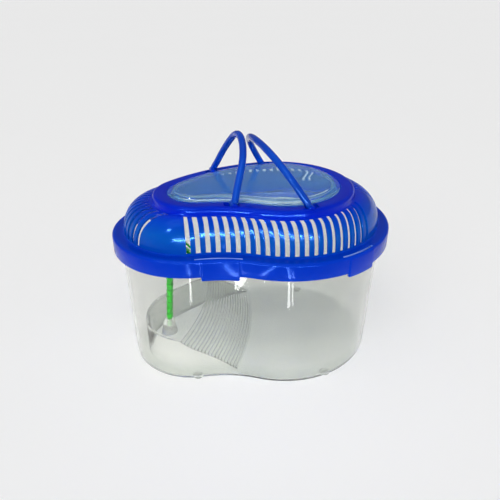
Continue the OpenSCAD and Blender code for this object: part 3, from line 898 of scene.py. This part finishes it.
def frond(length, rise, droop, turn):
    """An arching frond: a tapered midrib with pairs of leaflets."""
    verts, faces = [], []

    def at(f):
        height = HUB_H / 2 + rise * math.sin(math.radians(150 * f)) - droop * f * f
        return Vector((HUB_R - 0.8 + length * f, 0, height))

    n = 14
    for i in range(n + 1):
        f = i / n
        p = at(f)
        r = 0.95 * (1 - 0.75 * f)
        for j in range(8):
            a = 2 * math.pi * j / 8
            verts.append(p + Vector((0, r * math.cos(a), r * 0.8 * math.sin(a))))
    faces += grid_faces(n + 1, 8)
    faces += [tuple(range(8)), tuple(8 * n + j for j in range(8))]
    pairs = 9
    for i in range(pairs):
        f = 0.16 + 0.8 * i / (pairs - 1)
        p = at(min(f, 0.99))
        along = (at(min(f + 0.03, 1)) - at(f - 0.03)).normalized()
        reach = (1.4 + 5.4 * math.sin(math.pi * (0.12 + 0.8 * f) ** 0.9)) * (length / 22)
        for side in (-1, 1):
            way = (along * 0.75 + Vector((0, side, -0.14))).normalized()
            up = way.cross(Vector((0, side, 0)).cross(way)).normalized()
            up = Vector((0, 0, 1)) if up.z <= 0 else up
            add_shell(verts, faces, *leaflet(p, way, up, reach, 1.9 * (length / 22) ** 0.5))
    rot = Matrix.Rotation(turn, 4, "Z")
    return [rot @ v for v in verts], faces


def build_fronds(name, count, z, length, rise, droop, start):
    """A hub at the height z on the palm with count fronds, the first at start degrees."""
    place = PALM_PLACE @ Matrix.Translation((0, 0, z))
    hub = [(CROWN_PIN_R + 0.05, 0), (HUB_R - 0.3, 0), (HUB_R, 0.4), (HUB_R - 0.1, HUB_H * 0.7)]
    hub += [(HUB_R - 0.9, HUB_H - 0.1), (CROWN_PIN_R + 0.05, HUB_H)]
    verts, faces = lathe(hub, 36)
    for i in range(count):
        turn = math.radians(start + 360 * i / count)
        add_shell(verts, faces, *frond(length, rise, droop, turn))
    return shade(clean(new_object(name, [place @ Vector(v) for v in verts], faces), 0.0005), 40)


# ---- materials ----
def new_material(name):
    """A new material, its node tree and its output node."""
    mat = bpy.data.materials.new(name)
    mat.use_nodes = True
    nt = mat.node_tree
    nt.nodes.clear()
    out = nt.nodes.new("ShaderNodeOutputMaterial")
    return mat, nt, out


def node(nt, kind, **values):
    """A new shader node. _ stands for a space in the name of an input."""
    n = nt.nodes.new("ShaderNode" + kind)
    for key, value in values.items():
        name = key.replace("_", " ")
        if name in n.inputs:
            n.inputs[name].default_value = value
        else:
            setattr(n, key, value)
    return n


def feed(nt, value, socket):
    """Links an output to an input, or sets the input to a number."""
    if hasattr(value, "links"):
        nt.links.new(value, socket)
    else:
        socket.default_value = value


def position(nt):
    """Place on the object in metres."""
    return node(nt, "TexCoord").outputs["Object"]


def noise(nt, where, scale, detail, stretch=None):
    """Noise value, optionally on a stretched place."""
    source = where
    if stretch:
        m = node(nt, "Mapping", Scale=stretch)
        feed(nt, where, m.inputs["Vector"])
        source = m.outputs[0]
    n = node(nt, "TexNoise", Scale=scale, Detail=detail, Roughness=0.5)
    feed(nt, source, n.inputs["Vector"])
    return n.outputs["Fac"]


def spread(nt, value, low, high, from_low=0.3, from_high=0.7):
    """value mapped from its usual range to low..high."""
    m = node(nt, "MapRange", From_Min=from_low, From_Max=from_high, To_Min=low, To_Max=high)
    feed(nt, value, m.inputs["Value"])
    return m.outputs["Result"]


def blend_colour(nt, factor, a, b):
    """Colour between a at 0 and b at 1."""
    m = node(nt, "Mix", data_type="RGBA")
    m.inputs[6].default_value = (*a, 1)
    m.inputs[7].default_value = (*b, 1)
    feed(nt, factor, m.inputs["Factor"])
    return m.outputs[2]


def scratches(nt, where, scale, share):
    """Thin curved lines: 1 on a scratch and 0 beside it."""
    wave = node(nt, "TexVoronoi", feature="DISTANCE_TO_EDGE", Scale=scale, Randomness=1.0)
    warp = node(nt, "Mapping", Scale=(1.0, 0.24, 0.5), Rotation=(0.4, 0.7, 0.9))
    feed(nt, where, warp.inputs["Vector"])
    feed(nt, warp.outputs[0], wave.inputs["Vector"])
    return spread(nt, wave.outputs["Distance"], 1.0, 0.0, 0.0, share)


def bump(nt, height, strength, distance):
    b = node(nt, "Bump", Strength=strength, Distance=distance)
    feed(nt, height, b.inputs["Height"])
    return b.outputs["Normal"]


def add_values(nt, a, b, kind="ADD"):
    """Sum of two values, or what another kind of operation makes of them."""
    m = node(nt, "Math", operation=kind)
    feed(nt, a, m.inputs[0])
    feed(nt, b, m.inputs[1])
    return m.outputs[0]


def add_share(nt, a, b, share):
    """a plus a share of b."""
    return add_values(nt, a, add_values(nt, b, share, "MULTIPLY"))


def axes(nt, where):
    """X, Y and Z of a place."""
    split = node(nt, "SeparateXYZ")
    feed(nt, where, split.inputs[0])
    return split.outputs


def mix_shaders(nt, share, first, second):
    """The first shader with a share of the second."""
    mix = node(nt, "MixShader")
    feed(nt, share, mix.inputs[0])
    feed(nt, first, mix.inputs[1])
    feed(nt, second, mix.inputs[2])
    return mix.outputs[0]


def clear_material(name, tint, painted_shade_tint, haze, waves, veil, lamp_tint, ior, milk=None):
    """Clear plastic whose tint darkens towards the back and floor as painted shade, with milk as (colour,
    share).
    """
    mat, nt, out = new_material(name)
    where = position(nt)
    flow = noise(nt, where, 24.0, 2.0, (1.0, 1.0, 0.3))
    fine = noise(nt, where, 420.0, 2.0)
    marks = scratches(nt, where, 95.0, 0.010)
    rough = add_share(nt, spread(nt, flow, haze * 0.6, haze * 1.6), marks, 0.08)
    height = add_share(nt, flow, fine, 0.02)
    # Painted shade: the tint turns to the darker second tint towards the back and towards the floor
    behind = spread(nt, axes(nt, where)["Y"], 0.0, 0.8, -0.03, 0.06)
    below = spread(nt, axes(nt, where)["Z"], 0.75, 0.0, 0.004, 0.022)
    painted_shade = add_share(nt, add_values(nt, behind, below, "MAXIMUM"), flow, 0.3)
    glass = node(nt, "BsdfPrincipled", IOR=ior, Transmission_Weight=1.0 - veil)
    feed(nt, blend_colour(nt, painted_shade, tint, painted_shade_tint), glass.inputs["Base Color"])
    feed(nt, rough, glass.inputs["Roughness"])
    feed(nt, bump(nt, height, waves, 0.001), glass.inputs["Normal"])
    body = glass.outputs[0]
    if milk:
        colour, share = milk
        scatter = node(nt, "BsdfTranslucent", Color=(*colour, 1))
        body = mix_shaders(nt, share, body, scatter.outputs[0])
    open_way = node(nt, "BsdfTransparent", Color=(*lamp_tint, 1))
    to_lamp = node(nt, "LightPath").outputs["Is Shadow Ray"]
    feed(nt, mix_shaders(nt, to_lamp, body, open_way.outputs[0]), out.inputs["Surface"])
    return mat


# Colours of the lid by height: skirt, flange, foot, middle and top of the dome, ring. The dome's lighter,
# greener blue is painted light coming through it, and the ring's deeper blue is painted shade
LID_BLUES_PAINTED_LIGHT = (
    (SKIRT_Z, (0.0, 0.040, 0.64)),
    (FLANGE_Z - 0.5, (0.0, 0.030, 0.56)),
    (FLANGE_Z + 2.0, (0.0, 0.075, 0.50)),
    (FLANGE_Z + 16.0, (0.0, 0.100, 0.50)),
    (DOME_TOP_Z - 3.0, (0.0, 0.040, 0.52)),
    (DOME_TOP_Z + 1.0, (0.0, 0.008, 0.62)),
    (RING_Z, (0.0, 0.008, 0.52)),
)


def by_height(nt, where, stops):
    """Colour that changes with the height in millimetres."""
    low, high = stops[0][0], stops[-1][0]
    ramp = node(nt, "ValToRGB")
    share = spread(nt, axes(nt, where)["Z"], 0.0, 1.0, low * MM, high * MM)
    feed(nt, share, ramp.inputs["Fac"])
    bars = ramp.color_ramp.elements
    for i, (z, colour) in enumerate(stops):
        at = (z - low) / (high - low)
        bar = bars[i] if i < 2 else bars.new(at)
        bar.position, bar.color = at, (*colour, 1)
    return ramp.outputs["Color"]


def lid_material():
    """Glossy blue plastic that lets some light through, with light through the dome and shade on the ring
    also painted into its blue by height.
    """
    mat, nt, out = new_material("lid_blue")
    where = position(nt)
    cloud = noise(nt, where, 16.0, 3.0)
    grain = noise(nt, where, 900.0, 2.0)
    marks = scratches(nt, where, 120.0, 0.010)
    # The blue by height holds painted light in the dome and painted shade on the ring, varied by the
    # cloud
    blue_and_painted_light = node(nt, "Mix", data_type="RGBA", blend_type="MULTIPLY", Factor=1.0)
    feed(nt, by_height(nt, where, LID_BLUES_PAINTED_LIGHT), blue_and_painted_light.inputs[6])
    feed(nt, blend_colour(nt, cloud, (0.9, 0.85, 0.93), (1.0, 1.15, 1.06)), blue_and_painted_light.inputs[7])
    rough = add_share(nt, spread(nt, cloud, 0.09, 0.15), marks, 0.12)
    body = node(nt, "BsdfPrincipled", IOR=1.45, Specular_Tint=(0.08, 0.30, 1.0, 1))
    feed(nt, blue_and_painted_light.outputs[2], body.inputs["Base Color"])
    feed(nt, rough, body.inputs["Roughness"])
    height = add_share(nt, cloud, grain, 0.02)
    feed(nt, bump(nt, height, 0.25, 0.001), body.inputs["Normal"])
    glow = node(nt, "BsdfTranslucent", Color=(0.0, 0.42, 1.0, 1))
    feed(nt, mix_shaders(nt, 0.32, body.outputs[0], glow.outputs[0]), out.inputs["Surface"])
    return mat


def solid_material(name, dark, light, rough_low, rough_high, scale, relief, sheen):
    """Opaque moulded plastic with cloudy colour, fine grain and scratches."""
    mat, nt, out = new_material(name)
    where = position(nt)
    cloud = noise(nt, where, scale, 4.0)
    grain = noise(nt, where, scale * 24, 2.0)
    marks = scratches(nt, where, 160.0, 0.014)
    body = node(nt, "BsdfPrincipled", IOR=1.45, Specular_Tint=(*sheen, 1))
    feed(nt, blend_colour(nt, spread(nt, cloud, 0.0, 1.0), dark, light), body.inputs["Base Color"])
    rough = add_share(nt, spread(nt, cloud, rough_low, rough_high), marks, 0.16)
    feed(nt, rough, body.inputs["Roughness"])
    feed(nt, bump(nt, add_values(nt, cloud, grain), relief, 0.0003), body.inputs["Normal"])
    feed(nt, body.outputs[0], out.inputs["Surface"])
    return mat


def stage_material():
    mat, nt, out = new_material("pale_floor")
    cloud = noise(nt, position(nt), 1.5, 2.0)
    body = node(nt, "BsdfPrincipled", Roughness=0.9, Specular_IOR_Level=0.0)
    pale = blend_colour(nt, cloud, (0.925, 0.925, 0.925), (0.935, 0.935, 0.935))
    feed(nt, pale, body.inputs["Base Color"])
    feed(nt, body.outputs[0], out.inputs["Surface"])
    return mat


# ---- pieces ----
def place_piece(obj, body, cad_node, slot, *materials):
    """Dresses a piece, ties it to its body and lets it stand for its CAD node."""
    numbers = [face.material_index for face in obj.data.polygons]
    obj.data.materials.clear()
    for material in materials:
        obj.data.materials.append(material)
    for face, number in zip(obj.data.polygons, numbers):
        face.material_index = min(number, len(materials) - 1)
    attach(obj, body)
    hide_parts(cad_node)


def build_pieces():
    lamp_tint = (0.985, 0.987, 0.98)
    # The second tint of each clear material is painted shade towards the back and the floor
    tank_clear = clear_material(
        "tank_clear", (0.93, 0.93, 0.905), (0.71, 0.73, 0.70), 0.03, 0.25, 0.012, lamp_tint, 1.28
    )
    # The island's top, the feet and the palm's socket
    tank_frost = clear_material(
        "tank_frost", (0.64, 0.67, 0.64), (0.62, 0.65, 0.62), 0.12, 0.2, 0.18, lamp_tint, 1.28
    )
    hatch_clear = clear_material(
        "hatch_clear", (0.74, 0.90, 0.97), (0.66, 0.88, 0.97), 0.012, 0.04, 0.01,
        (0.94, 0.97, 0.985), 1.40, ((0.22, 0.62, 1.0), 0.16)
    )
    blue = lid_material()
    # The walls of the slits over the tabs, in a lighter blue that paints the bright line of a highlight
    # along each slit
    slit_painted_highlight = solid_material(
        "lid_slit_painted_highlight", (0.10, 0.28, 0.85), (0.35, 0.55, 0.95), 0.2, 0.3, 60.0, 0.1, (0.5, 0.7, 1.0)
    )
    rod_blue = solid_material(
        "handle_blue", (0.0, 0.028, 0.34), (0.0, 0.052, 0.46), 0.10, 0.18, 30.0, 0.1, (0.15, 0.4, 1.0)
    )
    stem_green = solid_material(
        "stem_green", (0.0, 0.18, 0.0), (0.001, 0.27, 0.002), 0.3, 0.45, 120.0, 0.3, (0.1, 0.6, 0.1)
    )
    leaf_green = solid_material(
        "leaf_green", (0.001, 0.36, 0.008), (0.004, 0.56, 0.02), 0.32, 0.5, 160.0, 0.4, (0.2, 0.8, 0.2)
    )
    place_piece(build_tank(), "tank", "tank", "clear_tank", tank_clear, tank_frost)
    place_piece(build_lid(), "lid", "lid", "blue_lid", blue, slit_painted_highlight)
    place_piece(build_hatch(), "hatch", "hatch", "clear_hatch", hatch_clear)
    for name in FEET:
        place_piece(build_handle(name), name, name, "blue_handle", rod_blue)
    place_piece(build_trunk(), "palm", "palm_trunk", "palm_trunk_green", stem_green)
    lower = build_fronds("palm_leaves_lower", 5, CROWN, 22.0, 5, 12, 66)
    upper = build_fronds("palm_leaves_upper", 4, CROWN + HUB_H, 16.5, 6, 6, 12)
    place_piece(lower, "palm", "palm_fronds_lower", "palm_leaf_green", leaf_green)
    place_piece(upper, "palm", "palm_fronds_upper", "palm_leaf_green", leaf_green)


# ---- stage, light and camera, in metres ----
def build_floor():
    size = 60.0 / MM
    corners = [(-size, -size, 0), (size, -size, 0), (size, size, 0), (-size, size, 0)]
    floor = new_object("floor", corners, [(0, 1, 2, 3)])
    floor.data.materials.append(stage_material())


def area_light(name, at, towards, width, height, radiance):
    """A rectangular lamp of even radiance that the camera doesn't see."""
    data = bpy.data.lights.new(name, "AREA")
    data.shape = "RECTANGLE"
    data.size, data.size_y = width, height
    data.energy = radiance * math.pi * width * height
    lamp = add_to_scene(name, data)
    lamp.visible_camera = False
    lamp.location = at
    lamp.rotation_euler = (Vector(towards) - Vector(at)).to_track_quat("-Z", "Y").to_euler()
    return lamp


def sun_light(name, comes_from, strength, spread_deg):
    """Even light from one side of the room, with soft shadows."""
    data = bpy.data.lights.new(name, "SUN")
    data.energy = strength
    data.angle = math.radians(spread_deg)
    lamp = add_to_scene(name, data)
    lamp.rotation_euler = Vector(comes_from).to_track_quat("Z", "Y").to_euler()


def build_world():
    """Pale room, brighter in front of the object than behind it."""
    world = bpy.data.worlds.new("studio")
    bpy.context.scene.world = world
    world.use_nodes = True
    nt = world.node_tree
    way = node(nt, "TexCoord").outputs["Generated"]
    back = nt.nodes["Background"]
    back.inputs["Color"].default_value = (1, 1, 1, 1)
    feed(nt, spread(nt, axes(nt, way)["Y"], 0.84, 0.20, -0.6, 0.6), back.inputs["Strength"])


# Places and widths of the strips that the tank's front wall mirrors
WALL_STREAKS = ((-0.050, 0.012), (0.044, 0.008), (0.058, 0.004))


def build_light():
    build_world()
    sun_light("overhead", (-0.15, -0.1, 1.0), 0.45, 70)
    sun_light("front_softbox", (-0.35, -0.8, 0.62), 1.15, 45)
    # Light scattered inside the tank
    fill = area_light("inner_fill", (0.0, 0.0, 0.139), (0.0, 0.0, 0.0), 0.17, 0.10, 0.85)
    fill.visible_glossy = False
    fill.visible_transmission = False
    area_light("ceiling", (0.1, -0.9, 1.5), (0.0, 0.0, 0.14), 0.9, 0.08, 5)
    # Lamps that are only mirrored, by the dome's bars, its small lobe and the tank's wall
    bars = area_light("bar_glints", (0.05, -0.54, 0.06), (0.05, -0.08, 0.157), 0.6, 0.016, 200)
    bars.visible_diffuse = False
    lobe = area_light("lobe_glint", (-0.407, -0.60, 0.228), (-0.098, -0.085, 0.158), 0.06, 0.03, 220)
    lobe.visible_diffuse = False
    for i, (x, width) in enumerate(WALL_STREAKS):
        strip = area_light(f"wall_streak_{i}", (x, -0.33, 0.002), (x, -0.33, 1.0), width, 0.24, 30)
        strip.visible_diffuse = False
        strip.visible_transmission = False


# Place in metres, pitch downwards and roll in degrees, lens and sensor in millimetres
CAMERA_AT = (-0.00316, -0.46102, 0.34088)
CAMERA_DOWN, CAMERA_ROLL = 27.60, 0.37
CAMERA_LENS, CAMERA_SENSOR = 35.50, 36.0


def build_camera():
    data = bpy.data.cameras.new("camera")
    data.lens = CAMERA_LENS
    data.sensor_width = CAMERA_SENSOR
    camera = add_to_scene("camera", data)
    turn = Matrix.Rotation(math.radians(90 - CAMERA_DOWN), 4, "X") @ Matrix.Rotation(
        math.radians(CAMERA_ROLL), 4, "Z"
    )
    camera.matrix_world = Matrix.Translation(CAMERA_AT) @ turn
    data.clip_start, data.clip_end = 0.01, 200.0
    bpy.context.scene.camera = camera


def set_look():
    """Plain colours, and bounces for clear layers."""
    scene = bpy.context.scene
    scene.view_settings.view_transform = "Standard"
    scene.view_settings.look = "None"
    cycles = scene.cycles
    cycles.max_bounces = 24
    cycles.transmission_bounces = 20
    cycles.transparent_max_bounces = 32
    cycles.glossy_bounces = 6
    cycles.sample_clamp_indirect = 6.0


build_camera()
build_light()
build_floor()
set_look()
build_pieces()
